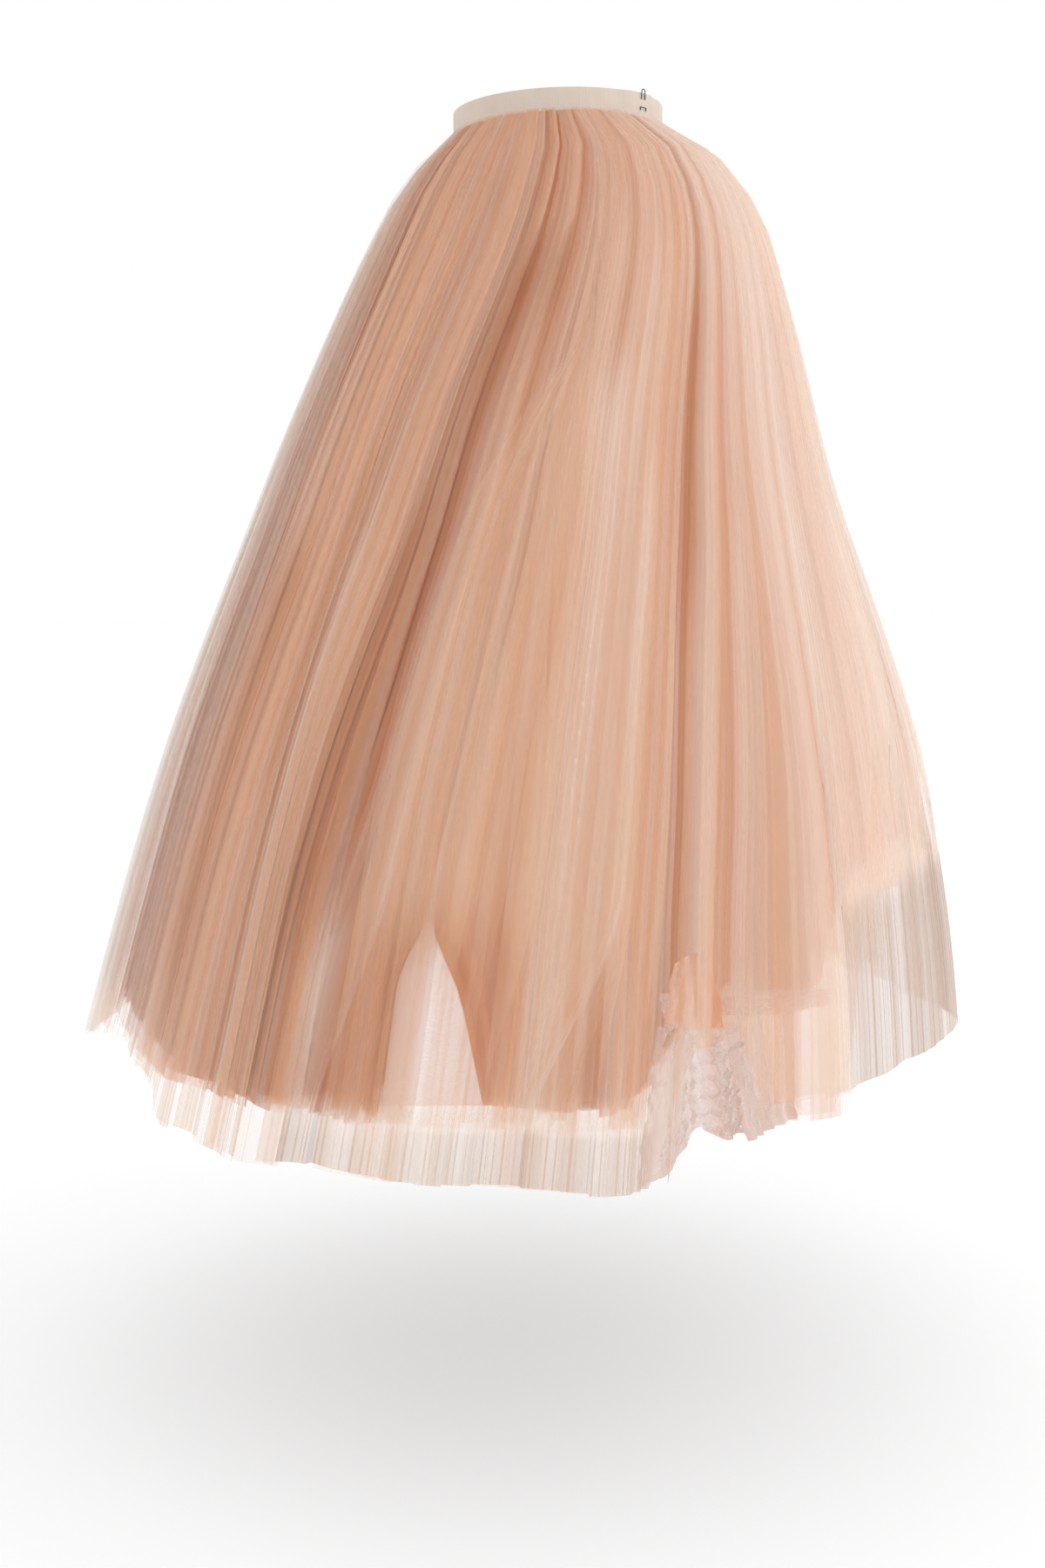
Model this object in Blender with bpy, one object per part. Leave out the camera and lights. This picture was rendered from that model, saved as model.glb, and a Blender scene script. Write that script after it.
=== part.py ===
"""Tulle skirt, worn and hollow: four gathered tulle layers nested under a ribbed ribbon waistband, closed at the
centre back by a hook and eye. Metres, +Z up. The origin is the middle of the waist ring, where the wearer holds the
skirt up. The front faces -Y. An azimuth runs from the front (0) over the wearer's left (+X, 90) to the back (180)."""

import math

import bmesh
import bpy
from mathutils import Vector

# ---- waistband ribbon -------------------------------------------------------------------------------------------
BAND_HEIGHT = 0.021
BAND_WALL = 0.0016
BAND_HALF_WIDTH = 0.1075
BAND_HALF_DEPTH = 0.0825
BAND_TILT = math.radians(6)  # the waist line drops towards the front
BAND_COLUMNS = 72
OVERLAP_ANGLE = math.radians(17)  # the outer end of the ribbon laps this far over the inner end
OVERLAP_RISE = math.radians(9)  # and climbs onto it over this angle
CLOSURE = math.radians(180)  # azimuth of the middle of the overlap: the centre back
SEAM_GAP = 0.0003

# ---- tulle walls ------------------------------------------------------------------------------------------------
WALL = 0.0011
COLUMNS = 60  # two for each pleat: a crest and a valley
PLEAT_UNEVEN = 0.35  # share by which one pleat's depth differs from the next
HEM_RISE = 0.020  # the hem hangs lower at HEM_LOW_AZIMUTH than its mean, and higher opposite
HEM_LOW_AZIMUTH = math.radians(108)

# One row for each horizontal section of the outermost layer, from the waist to the hem.
# drop: height below the waist line; half_width and half_depth: the ellipse's half sizes along X and Y;
# centre_y: its centre; tilt: share of the band's tilt that it keeps; pleat: half depth of its pleats;
# step: how far each layer lies inside the one before, measured square to the cloth.
SECTION_COLUMNS = ("drop", "half_width", "half_depth", "centre_y", "tilt", "pleat", "step")
SECTION_ROWS = (
    (0.0025, 0.1053, 0.0803, 0.000, 1.00, 0.0000, 0.0015),
    (0.0110, 0.1053, 0.0803, 0.000, 1.00, 0.0000, 0.0015),
    (0.0165, 0.1225, 0.0985, 0.004, 1.00, 0.0005, 0.0017),
    (0.0370, 0.1500, 0.1210, 0.012, 0.75, 0.0014, 0.0021),
    (0.0820, 0.1840, 0.1520, 0.016, 0.50, 0.0026, 0.0029),
    (0.1670, 0.2180, 0.1890, 0.009, 0.26, 0.0045, 0.0044),
    (0.3170, 0.2620, 0.2430, -0.007, 0.08, 0.0060, 0.0058),
    (0.5470, 0.3320, 0.3220, -0.016, 0.00, 0.0075, 0.0072),
    (0.8070, 0.3850, 0.3800, -0.040, 0.00, 0.0090, 0.0086),
)
SECTIONS = [dict(zip(SECTION_COLUMNS, row)) for row in SECTION_ROWS]

# One row for each large fold that runs down the cloth: its azimuth and half width in degrees at the hem, its depth
# there (inwards is negative), and the drop at which it begins.
FOLD_COLUMNS = ("azimuth", "half_width", "depth", "begins")
FOLD_ROWS = (
    (8, 13, 0.012, 0.10),
    (29, 10, -0.012, 0.16),
    (50, 13, 0.010, 0.12),
    (80, 10, -0.012, 0.10),
    (92, 7, 0.010, 0.12),
    (100, 5, -0.010, 0.16),
    (113, 9, 0.010, 0.10),
    (131, 9, 0.014, 0.08),
    (148, 7, -0.015, 0.12),
    (162, 9, 0.012, 0.10),
    (181, 9, -0.010, 0.16),
    (202, 13, 0.012, 0.10),
    (226, 11, -0.014, 0.18),
    (256, 12, 0.013, 0.12),
    (292, 13, -0.013, 0.15),
    (330, 12, 0.010, 0.12),
)
FOLDS = [dict(zip(FOLD_COLUMNS, row)) for row in FOLD_ROWS]

# One row for each tulle layer, from the outside in: its place in the nest and how much shorter than the longest it is.
LAYER_COLUMNS = ("name", "place", "shorter", "colour")
LAYER_ROWS = (
    ("outer_tulle", 0, 0.000, (0.86, 0.68, 0.60, 1)),
    ("pleated_tulle", 1, 0.026, (0.84, 0.62, 0.52, 1)),
    ("peach_tulle", 2, 0.044, (0.78, 0.50, 0.38, 1)),
    ("inner_net", 3, 0.054, (0.86, 0.66, 0.60, 1)),
)
LAYERS = [dict(zip(LAYER_COLUMNS, row)) for row in LAYER_ROWS]

# ---- hook and eye -----------------------------------------------------------------------------------------------
WIRE = 0.0009
WIRE_SIDES = 8
HOOK_WIDTH = 0.0055
HOOK_REACH = 0.0085
HOOK_LIFT = 0.0030  # how far the hook's bend stands above the ribbon's top edge
EYE_HEIGHT = -0.0015
EYE_REACH = 0.0044
WIRE_SEAT = BAND_WALL + 2 * SEAM_GAP + WIRE / 2  # from the ribbon's own ring out to a wire that lies on the lap


def clear_scene():
    for obj in list(bpy.data.objects):
        bpy.data.objects.remove(obj, do_unlink=True)


def material(name, colour, roughness, metallic=0.0):
    made = bpy.data.materials.new(name)
    made.use_nodes = True
    shader = made.node_tree.nodes["Principled BSDF"]
    shader.inputs["Base Color"].default_value = colour
    shader.inputs["Roughness"].default_value = roughness
    shader.inputs["Metallic"].default_value = metallic
    return made


def add_object(name, points, faces, finish, smooth=True):
    mesh = bpy.data.meshes.new(name)
    mesh.from_pydata([tuple(p) for p in points], [], faces)
    work = bmesh.new()
    work.from_mesh(mesh)
    bmesh.ops.recalc_face_normals(work, faces=work.faces)
    work.to_mesh(mesh)
    work.free()
    if smooth:
        mesh.shade_smooth()
    mesh.materials.append(finish)
    obj = bpy.data.objects.new(name, mesh)
    bpy.context.collection.objects.link(obj)
    return obj


def smooth_step(value):
    value = min(1.0, max(0.0, value))
    return value * value * (3 - 2 * value)


def direction(azimuth):
    return math.sin(azimuth), -math.cos(azimuth)


def hem_drop(azimuth):
    """Height of the longest hem below the waist line."""
    return SECTIONS[-1]["drop"] + HEM_RISE * math.cos(azimuth - HEM_LOW_AZIMUTH)


def section_point(row, azimuth):
    """Point of a smooth section, before pleats and folds."""
    across, back = direction(azimuth)
    section = SECTIONS[row]
    x = section["half_width"] * across
    y = section["half_depth"] * back
    drop = section["drop"]
    if row == len(SECTIONS) - 1:
        drop = hem_drop(azimuth)
    z = -drop + math.tan(BAND_TILT) * section["tilt"] * y
    return Vector((x, y + section["centre_y"], z))


def section_normal(row, azimuth):
    """Outward direction square to the smooth cloth, from its neighbours along and down the skirt."""
    turn = math.radians(2)
    along = section_point(row, azimuth + turn) - section_point(row, azimuth - turn)
    above = section_point(max(row - 1, 0), azimuth)
    below = section_point(min(row + 1, len(SECTIONS) - 1), azimuth)
    here = section_point(row, azimuth)
    down = (here - above).normalized() + (below - here).normalized()
    return down.cross(along).normalized()


def fold_depth(azimuth, drop):
    """Large folds at this place, outwards positive."""
    total = 0.0
    for fold in FOLDS:
        away = math.degrees(azimuth) - fold["azimuth"]
        away = (away + 180) % 360 - 180
        if abs(away) < fold["half_width"]:
            bump = 0.5 + 0.5 * math.cos(math.pi * away / fold["half_width"])
            reach = smooth_step((drop - fold["begins"]) / (SECTIONS[-1]["drop"] - fold["begins"]))
            total += fold["depth"] * bump * reach
    return total


def pleat_shape(column):
    """+1 on a crest and -1 in a valley, uneven from one pleat to the next."""
    pleat = column // 2
    size = 1 - PLEAT_UNEVEN * (0.5 + 0.5 * math.sin(2.4 * pleat + 0.7 * math.sin(1.3 * pleat)))
    return size if column % 2 == 0 else -size


def column_azimuth(column):
    """Pleats are spaced unevenly, so a column strays a little from its even place."""
    pitch = 2 * math.pi / COLUMNS
    return pitch * (column + 0.22 * math.sin(1.9 * column) + 0.4 * math.sin(2 * math.pi * column / COLUMNS * 3))


def layer_points(layer, inset):
    """Rows of points on a layer, inset square to the cloth from its outer face."""
    rows = []
    for row, section in enumerate(SECTIONS):
        ring = []
        for column in range(COLUMNS):
            azimuth = column_azimuth(column)
            place = section_point(row, azimuth)
            proud = section["pleat"] * pleat_shape(column) + fold_depth(azimuth, section["drop"])
            proud -= section["step"] * layer["place"] + inset
            ring.append(place + section_normal(row, azimuth) * proud)
        rows.append(ring)
    for column, low in enumerate(rows[-1]):
        high = rows[-2][column]
        cut = layer["shorter"] / (high.z - low.z)
        rows[-1][column] = low.lerp(high, cut)
    return rows


def make_layer(layer):
    """Thin wall round the body: an outer skin, an inner skin and the two raw edges that join them."""
    skins = [layer_points(layer, 0.0), layer_points(layer, WALL)]
    rows = len(SECTIONS)
    points = [p for skin in skins for ring in skin for p in ring]

    def index(skin, row, column):
        return (skin * rows + row) * COLUMNS + column % COLUMNS

    faces = []
    for skin in range(2):
        for row in range(rows - 1):
            for column in range(COLUMNS):
                faces.append((index(skin, row, column), index(skin, row + 1, column),
                              index(skin, row + 1, column + 1), index(skin, row, column + 1)))
    for row in (0, rows - 1):
        for column in range(COLUMNS):
            faces.append((index(0, row, column), index(1, row, column),
                          index(1, row, column + 1), index(0, row, column + 1)))
    finish = material(layer["name"], layer["colour"], 0.8)
    return add_object(layer["name"], points, faces, finish)


def band_lift(turned):
    """How far the ribbon stands off its own ring: its outer end climbs over its inner end."""
    start = 2 * math.pi - OVERLAP_RISE
    return (BAND_WALL + SEAM_GAP) * smooth_step((turned - start) / OVERLAP_RISE)


def band_point(azimuth, lift, height):
    """Point on the ribbon: lift outwards from its outer face and height above the waist line."""
    across, back = direction(azimuth)
    x = BAND_HALF_WIDTH * across
    y = BAND_HALF_DEPTH * back
    out = Vector((across / BAND_HALF_WIDTH, back / BAND_HALF_DEPTH, 0)).normalized()
    flat = Vector((x, y, 0)) + out * lift
    return flat + Vector((0, 0, height + math.tan(BAND_TILT) * flat.y))


def make_band():
    """One ribbon, wound once round the waist and lapped over itself at the centre back."""
    start = CLOSURE - OVERLAP_ANGLE / 2
    length = 2 * math.pi + OVERLAP_ANGLE
    points = []
    for station in range(BAND_COLUMNS + 1):
        turned = length * station / BAND_COLUMNS
        lift = band_lift(turned)
        for inset, height in ((0, 0.5), (0, -0.5), (BAND_WALL, -0.5), (BAND_WALL, 0.5)):
            points.append(band_point(start + turned, lift - inset, height * BAND_HEIGHT))
    faces = [(0, 1, 2, 3), tuple(BAND_COLUMNS * 4 + k for k in range(4))]
    for station in range(BAND_COLUMNS):
        for corner in range(4):
            after = (corner + 1) % 4
            faces.append((station * 4 + corner, station * 4 + after, station * 4 + 4 + after, station * 4 + 4 + corner))
    return add_object("waistband", points, faces, material("ribbon", (0.80, 0.70, 0.61, 1), 0.6), smooth=False)


def make_wire(name, route, finish):
    """Round wire along a route of points."""
    curve = bpy.data.curves.new(name, "CURVE")
    curve.dimensions = "3D"
    curve.bevel_depth = WIRE / 2
    curve.bevel_resolution = WIRE_SIDES // 4
    curve.use_fill_caps = True
    spline = curve.splines.new("POLY")
    spline.points.add(len(route) - 1)
    for point, place in zip(spline.points, route):
        point.co = (*place, 1)
    curve.materials.append(finish)
    obj = bpy.data.objects.new(name, curve)
    bpy.context.collection.objects.link(obj)
    return obj


def closure_frame(height, lift):
    """Place on the lap at the closure, with the ways along the ribbon and up it."""
    place = band_point(CLOSURE, lift, height)
    along = (band_point(CLOSURE + 0.02, lift, height) - place).normalized()
    up = (band_point(CLOSURE, lift, height + 0.01) - place).normalized()
    return place, along, up


def arc_route(place, across, rise, radius, first, last, steps):
    """Points along an arc in the plane of two directions."""
    route = []
    for step in range(steps + 1):
        angle = math.radians(first + (last - first) * step / steps)
        route.append(place + across * radius * math.cos(angle) + rise * radius * math.sin(angle))
    return route


def make_hook(finish):
    """Bent wire hook on the top edge of the lap: two eyelet legs and a bend that stands above the edge."""
    place, along, up = closure_frame(BAND_HEIGHT / 2, WIRE_SEAT)
    half = HOOK_WIDTH / 2
    foot = place - up * (HOOK_REACH - HOOK_LIFT)
    top = place + up * (HOOK_LIFT - half)
    route = [foot - along * half, *arc_route(top, -along, up, half, 0, 180, 8), foot + along * half]
    return make_wire("hook", route, finish)


def make_eye(finish):
    """Bent wire bar on the lap below the hook, its two ends turned down."""
    place, along, up = closure_frame(EYE_HEIGHT, WIRE_SEAT)
    end = along * EYE_REACH
    drop = -up * WIRE * 3
    route = [place - end + drop, place - end, place + end, place + end + drop]
    return make_wire("eye_bar", route, finish)


def main():
    clear_scene()
    metal = material("metal", (0.16, 0.15, 0.15, 1), 0.35, 1.0)
    make_band()
    make_hook(metal)
    make_eye(metal)
    for layer in LAYERS:
        make_layer(layer)


main()
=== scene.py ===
"""Looks of a long gathered tulle skirt: sheer crinkled layers over denser peach ones, a ribbed ribbon band, a hook."""
import math

import bmesh
import bpy
import numpy as np
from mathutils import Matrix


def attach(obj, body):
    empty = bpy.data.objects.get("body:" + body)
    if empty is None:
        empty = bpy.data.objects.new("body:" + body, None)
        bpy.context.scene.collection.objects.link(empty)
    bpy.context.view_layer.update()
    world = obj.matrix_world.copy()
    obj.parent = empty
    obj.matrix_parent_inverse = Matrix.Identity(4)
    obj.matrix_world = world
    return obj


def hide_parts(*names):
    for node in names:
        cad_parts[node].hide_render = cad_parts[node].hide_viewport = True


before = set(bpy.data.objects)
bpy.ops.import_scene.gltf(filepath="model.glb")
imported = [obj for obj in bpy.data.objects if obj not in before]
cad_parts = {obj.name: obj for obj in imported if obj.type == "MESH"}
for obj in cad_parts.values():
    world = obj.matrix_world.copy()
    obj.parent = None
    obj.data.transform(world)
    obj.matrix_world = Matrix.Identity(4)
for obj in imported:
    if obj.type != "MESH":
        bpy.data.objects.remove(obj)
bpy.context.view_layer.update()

# ---- the worn form, as the solids have it ------------------------------------------------------------------------
# drop: height below the waist line; half_width and half_depth: the section's half sizes along X and Y;
# centre_y: its centre; tilt: the share of the band's tilt that it keeps; step: how far each layer lies inside the last.
SECTION_COLUMNS = ("drop", "half_width", "half_depth", "centre_y", "tilt", "step")
SECTION_ROWS = (
    (0.0025, 0.1053, 0.0803, 0.000, 1.00, 0.0015),
    (0.0110, 0.1053, 0.0803, 0.000, 1.00, 0.0015),
    (0.0165, 0.1225, 0.0985, 0.004, 1.00, 0.0017),
    (0.0370, 0.1500, 0.1210, 0.012, 0.75, 0.0021),
    (0.0820, 0.1840, 0.1520, 0.016, 0.50, 0.0029),
    (0.1670, 0.2180, 0.1890, 0.009, 0.26, 0.0044),
    (0.3170, 0.2620, 0.2430, -0.007, 0.08, 0.0058),
    (0.5470, 0.3320, 0.3220, -0.016, 0.00, 0.0072),
    (0.6870, 0.3630, 0.3550, -0.026, 0.00, 0.0080),
    (0.8370, 0.3900, 0.3850, -0.042, 0.00, 0.0086),
)
FULLNESS = 0.010  # how far the longest layer's hem billows past its section
BAND_TILT = math.radians(6)
BAND_EDGE = 0.0105  # the ribbon's lower edge, below the waist line

# One row for each large fold that all layers share: azimuth and half width in degrees, depth at the hem, first drop.
FOLD_COLUMNS = ("azimuth", "half_width", "depth", "begins")
FOLD_ROWS = (
    (8, 13, 0.012, 0.10),
    (29, 10, -0.012, 0.16),
    (50, 13, 0.010, 0.12),
    (80, 10, -0.012, 0.10),
    (92, 7, 0.010, 0.12),
    (100, 5, -0.010, 0.16),
    (113, 9, 0.010, 0.10),
    (131, 9, 0.014, 0.08),
    (148, 7, -0.015, 0.12),
    (162, 9, 0.012, 0.10),
    (181, 9, -0.010, 0.16),
    (202, 13, 0.012, 0.10),
    (226, 11, -0.014, 0.18),
    (256, 12, 0.013, 0.12),
    (292, 13, -0.013, 0.15),
    (330, 12, 0.010, 0.12),
)

# How far pleats lean round the body on their way down: azimuth at the waist, the whole turn in degrees, and the share
# of it that they have made at a drop.
LEAN_COLUMNS = ("azimuth", "turn")
LEAN_ROWS = (
    (0, 2), (40, 0), (60, -6), (75, -14), (103, -24), (128, -32), (150, -27), (170, -29), (185, -26), (205, -14),
    (225, -4), (255, 4), (290, -6), (325, 5),
)
LEAN_DOWN_COLUMNS = ("drop", "share")
LEAN_DOWN_ROWS = (
    (0, 0), (0.037, 0.12), (0.127, 0.32), (0.227, 0.55), (0.337, 0.70), (0.437, 0.84), (0.537, 0.94), (0.647, 1.0), (0.847, 1.03),
)

# Where the sheer layers are drawn together or parted: azimuth at the waist, half width in degrees, strength from -1,
# parted, to 1, a dense bundle, and the drops it begins and ends at.
STREAM_COLUMNS = ("waist", "half_width", "strength", "begins", "ends")
STREAM_ROWS = (
    (12, 3.0, 0.5, 0.20, 0.90), (24, 2.5, -0.6, 0.10, 0.60), (33, 4.0, 0.4, 0.25, 0.90), (47, 1.6, -0.4, 0.08, 0.40),
    (54, 2.0, 0.4, 0.20, 0.90), (66, 2.0, 0.5, 0.25, 0.90), (74, 2.0, 0.3, 0.20, 0.90), (80, 2.0, -0.3, 0.30, 0.90),
    (88, 6.0, -0.6, 0.32, 0.78), (97, 1.0, 0.25, 0.25, 0.90), (102, 2.5, -0.4, 0.25, 0.60), (109, 2.5, 0.3, 0.30, 0.90),
    (112, 1.2, -0.5, 0.02, 0.16), (116, 0.8, 0.25, 0.30, 0.90), (124, 2.2, -0.7, 0.28, 0.72), (129, 0.5, 0.5, 0.20, 0.80),
    (130, 0.5, -0.4, 0.20, 0.70), (131.5, 0.5, 0.4, 0.20, 0.80), (135.3, 0.8, -0.9, 0.08, 0.24), (135.5, 0.5, 0.3, 0.35, 0.90),
    (137, 0.9, -0.8, 0.02, 0.13), (139, 0.4, 0.25, 0.35, 0.60), (141.5, 5.5, -0.9, 0.60, 1.20), (142, 0.8, -0.5, 0.02, 0.10), (143.3, 0.5, 0.2, 0.40, 0.60),
    (148, 1.3, -0.4, 0.34, 0.80), (148, 1.4, 0.6, 0.05, 0.36), (153, 3.5, 0.8, 0.18, 0.95), (158, 0.7, -0.3, 0.30, 0.80),
    (159, 1.6, 0.6, 0.08, 0.34), (162.8, 1.8, 0.55, 0.25, 0.90), (163.5, 1.0, -0.4, 0.04, 0.20), (171.0, 2.2, -0.7, 0.12, 0.46),
    (174.5, 0.8, 0.3, 0.20, 0.80), (177, 1.2, -0.3, 0.28, 0.80), (178.5, 1.5, 0.25, 0.30, 0.90),
    (183.5, 1.2, 0.25, 0.30, 0.90), (190.5, 1.3, 0.4, 0.28, 0.80), (197, 3.0, -0.3, 0.10, 0.50), (203, 2.0, 0.4, 0.30, 0.90),
    (214, 1.2, -0.7, 0.08, 0.45), (219, 3.5, 0.6, 0.20, 0.90), (228, 1.5, -0.4, 0.15, 0.60), (236, 1.0, 0.4, 0.20, 0.80),
    (243, 2.5, -0.7, 0.12, 0.55), (251, 4.0, 0.6, 0.20, 0.95), (259, 1.0, -0.5, 0.05, 0.30), (266, 5.0, -0.5, 0.30, 0.80),
    (275, 1.0, 0.5, 0.20, 0.90), (281, 2.0, -0.6, 0.10, 0.45), (288, 3.0, 0.5, 0.20, 0.90), (297, 1.2, -0.4, 0.05, 0.28),
    (305, 4.0, 0.5, 0.25, 0.90), (314, 1.5, -0.7, 0.10, 0.50), (322, 1.0, 0.4, 0.20, 0.90), (331, 5.0, -0.5, 0.30, 0.80),
    (342, 1.5, 0.5, 0.15, 0.90), (350, 1.2, -0.5, 0.04, 0.30),
)


# Narrow openings between the sheer layers' pleats, where the cloth sinks in and the dense layers get painted shade:
# azimuth at the waist, half width in degrees, strength from 0 to 1, and the drops it begins and ends at.
CREVICE_COLUMNS = ("waist", "half_width", "strength", "begins", "ends")
CREVICE_ROWS = (
    (24, 1.0, 0.5, 0.12, 0.50), (47, 0.7, 0.4, 0.08, 0.35), (112, 0.6, 0.6, 0.04, 0.15), (124, 0.5, 0.4, 0.22, 0.36),
    (129.1, 0.7, 1.0, 0.10, 0.70), (132.6, 0.6, 1.0, 0.10, 0.22), (135.3, 0.7, 1.2, 0.09, 0.24),
    (137.4, 0.6, 1.1, 0.025, 0.11), (139.8, 0.6, 0.9, 0.025, 0.10), (142.4, 0.6, 0.7, 0.03, 0.10), (151, 0.6, 0.6, 0.025, 0.09),
    (163.5, 0.6, 0.6, 0.05, 0.17), (171.3, 1.6, 0.22, 0.14, 0.42), (173.5, 0.6, 0.4, 0.08, 0.20), (214, 0.9, 0.6, 0.10, 0.40), (243, 1.2, 0.7, 0.14, 0.50), (281, 1.2, 0.6, 0.12, 0.40),
    (314, 0.8, 0.7, 0.12, 0.45), (350, 0.7, 0.5, 0.05, 0.25),
)


def columns(names, rows):
    table = np.array(rows, dtype=float)
    return {name: table[:, k] for k, name in enumerate(names)}


SECTIONS = columns(SECTION_COLUMNS, SECTION_ROWS)
FOLDS = columns(FOLD_COLUMNS, FOLD_ROWS)
LEANS = columns(LEAN_COLUMNS, LEAN_ROWS)
LEANS_DOWN = columns(LEAN_DOWN_COLUMNS, LEAN_DOWN_ROWS)
STREAMS = columns(STREAM_COLUMNS, STREAM_ROWS)
CREVICES = columns(CREVICE_COLUMNS, CREVICE_ROWS)


def smooth(x):
    x = np.clip(x, 0, 1)
    return x * x * (3 - 2 * x)


def curve(x, xs, ys):
    """Smooth line through a table's points that never overshoots them."""
    xs, ys = np.asarray(xs, float), np.asarray(ys, float)
    step = np.diff(xs)
    slope = np.diff(ys) / step
    ends = np.zeros_like(ys)
    same = slope[:-1] * slope[1:] > 0
    first, last = slope[:-1][same], slope[1:][same]
    ends[1:-1][same] = 2 * first * last / (first + last)
    ends[0], ends[-1] = slope[0], slope[-1]
    x = np.clip(x, xs[0], xs[-1])
    k = np.clip(np.searchsorted(xs, x, side="right") - 1, 0, len(step) - 1)
    t = (x - xs[k]) / step[k]
    return (
        ys[k] * (1 + 2 * t) * (1 - t) ** 2
        + ends[k] * step[k] * t * (1 - t) ** 2
        + ys[k + 1] * t * t * (3 - 2 * t)
        + ends[k + 1] * step[k] * t * t * (t - 1)
    )


def round_table(azimuth, at, values):
    """A table's value at an azimuth in degrees, joined smoothly all the way round."""
    at, values = np.asarray(at, float), np.asarray(values, float)
    return curve(azimuth % 360, np.concatenate((at[-2:] - 360, at, at[:2] + 360)),
                 np.concatenate((values[-2:], values, values[:2])))


def section(name, drop):
    return curve(drop, SECTIONS["drop"], SECTIONS[name])


def surface(azimuth, drop, proud):
    """Points on the worn form at an azimuth in degrees and a drop, standing proud of it by so many metres, and the
    way out of the form there."""
    angle = np.radians(azimuth)
    across, back = np.sin(angle), -np.cos(angle)
    wide, deep = section("half_width", drop), section("half_depth", drop)
    gap = 0.004
    wide_rate = (section("half_width", drop + gap) - section("half_width", drop - gap)) / (2 * gap)
    deep_rate = (section("half_depth", drop + gap) - section("half_depth", drop - gap)) / (2 * gap)
    out = np.stack((across / wide, back / deep, np.zeros_like(angle)), -1)
    out /= np.linalg.norm(out, axis=-1, keepdims=True)
    flare = wide_rate * across ** 2 + deep_rate * back ** 2
    out[..., 2] = flare
    out /= np.linalg.norm(out, axis=-1, keepdims=True)
    y = deep * back
    place = np.stack((wide * across, y + section("centre_y", drop),
                      -drop + math.tan(BAND_TILT) * section("tilt", drop) * y), -1)
    return place + out * np.asarray(proud)[..., None], out


def big_folds(azimuth, drop):
    total = np.zeros_like(azimuth)
    for at, half, depth, begins in zip(*FOLDS.values()):
        away = (azimuth - at + 180) % 360 - 180
        bump = np.where(np.abs(away) < half, 0.5 + 0.5 * np.cos(np.pi * away / half), 0)
        total += depth * bump * smooth((drop - begins) / (0.82 - begins))
    return total


def ripple(along, seed, count, low, high):
    """Sum of waves of uneven length round the cloth, about -1 to 1; along runs from 0 to 1."""
    draw = np.random.default_rng(seed)
    total = np.zeros_like(along)
    for _ in range(count):
        waves = draw.integers(low, high)
        total += draw.uniform(0.4, 1) * np.sin(2 * np.pi * (waves * along + draw.random()))
    return total / math.sqrt(count)


def bunched(along, seed, strength, low, high, count=6):
    """Worn places drawn together into bundles and thinned out between them; along runs from 0 to 1."""
    draw = np.random.default_rng(seed)
    shift = np.zeros_like(along)
    for _ in range(count):
        waves = draw.integers(low, high)
        turn = draw.random()
        shift += draw.uniform(0.5, 1) * (np.sin(2 * np.pi * (waves * along + turn)) - math.sin(2 * math.pi * turn)) / waves
    return along + strength * shift / (2 * math.pi * math.sqrt(count / 2))


def flowing(waist, drop):
    """Azimuth at a drop of cloth that hangs from an azimuth at the waist."""
    return waist + round_table(waist, LEANS["azimuth"], LEANS["turn"]) * curve(drop, LEANS_DOWN["drop"], LEANS_DOWN["share"])


def along_lines(table, waist, drop, grow, fade):
    """Sum of a table's lines that flow down the cloth; grow and fade: how long their two ends take."""
    total = np.zeros_like(drop)
    for at, half, strength, begins, ends in zip(*table.values()):
        away = (waist - at + 180) % 360 - 180
        total += strength * np.exp(-(away / half) ** 2) * smooth((drop - begins) / grow) * smooth((ends - drop) / fade)
    return total


def gathered(waist, drop):
    """How closely the sheer layers are drawn together here: -1 parted, 0 even, 1 a dense bundle."""
    return np.clip(along_lines(STREAMS, waist, drop, 0.08, 0.12), -1, 1)


def parted(waist, drop):
    """How far the cloth sinks into a crevice here, 0 to 1: the table's long ones and short ones under the band."""
    short = 1.7 * np.clip(ripple(waist / 360, 97, 8, 50, 130) - 0.55, 0, 1) * smooth((0.15 - drop) / 0.11)
    return np.clip(along_lines(CREVICES, waist, drop, 0.04, 0.10) + short * smooth((drop - BAND_EDGE) / 0.01), 0, 1)


# ---- pleated sheets ----------------------------------------------------------------------------------------------
CREVICE_DEPTH = 0.005
CREASE = 0.66
PLEAT_STOPS = (0.0, 0.25, 0.5, CREASE, 0.83)  # where a pleat's columns lie: out to its crease, then back


def pleat_lines(count, seed, evenness, crease=CREASE):
    """Columns of a knife-pleated strip: cut place 0..1, worn place 0..1, rise -1..1 and the pleat's own number."""
    draw = np.random.default_rng(seed)
    widths = draw.gamma(evenness, 1.0, count)
    widths *= count / widths.sum()
    starts = np.concatenate(([0], np.cumsum(widths)))[:-1]
    cut, worn, rise, number = [], [], [], []
    for k in range(count):
        for stop in PLEAT_STOPS:
            forward = stop if stop <= crease else 2 * crease - stop
            cut.append((starts[k] + stop * widths[k]) / count)
            worn.append((starts[k] + forward * widths[k] / (2 * crease - 1)) )
            peak = stop / crease if stop <= crease else (1 - stop) / (1 - crease)
            rise.append(2 * peak - 1)
            number.append(k)
    worn = np.array(worn)
    worn = np.minimum(worn / count, 1)
    cut, rise, number = np.array(cut), np.array(rise), np.array(number)
    return np.append(cut, 1.0), np.append(worn, 1.0), np.append(rise, -1.0), np.append(number, 0)


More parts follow.
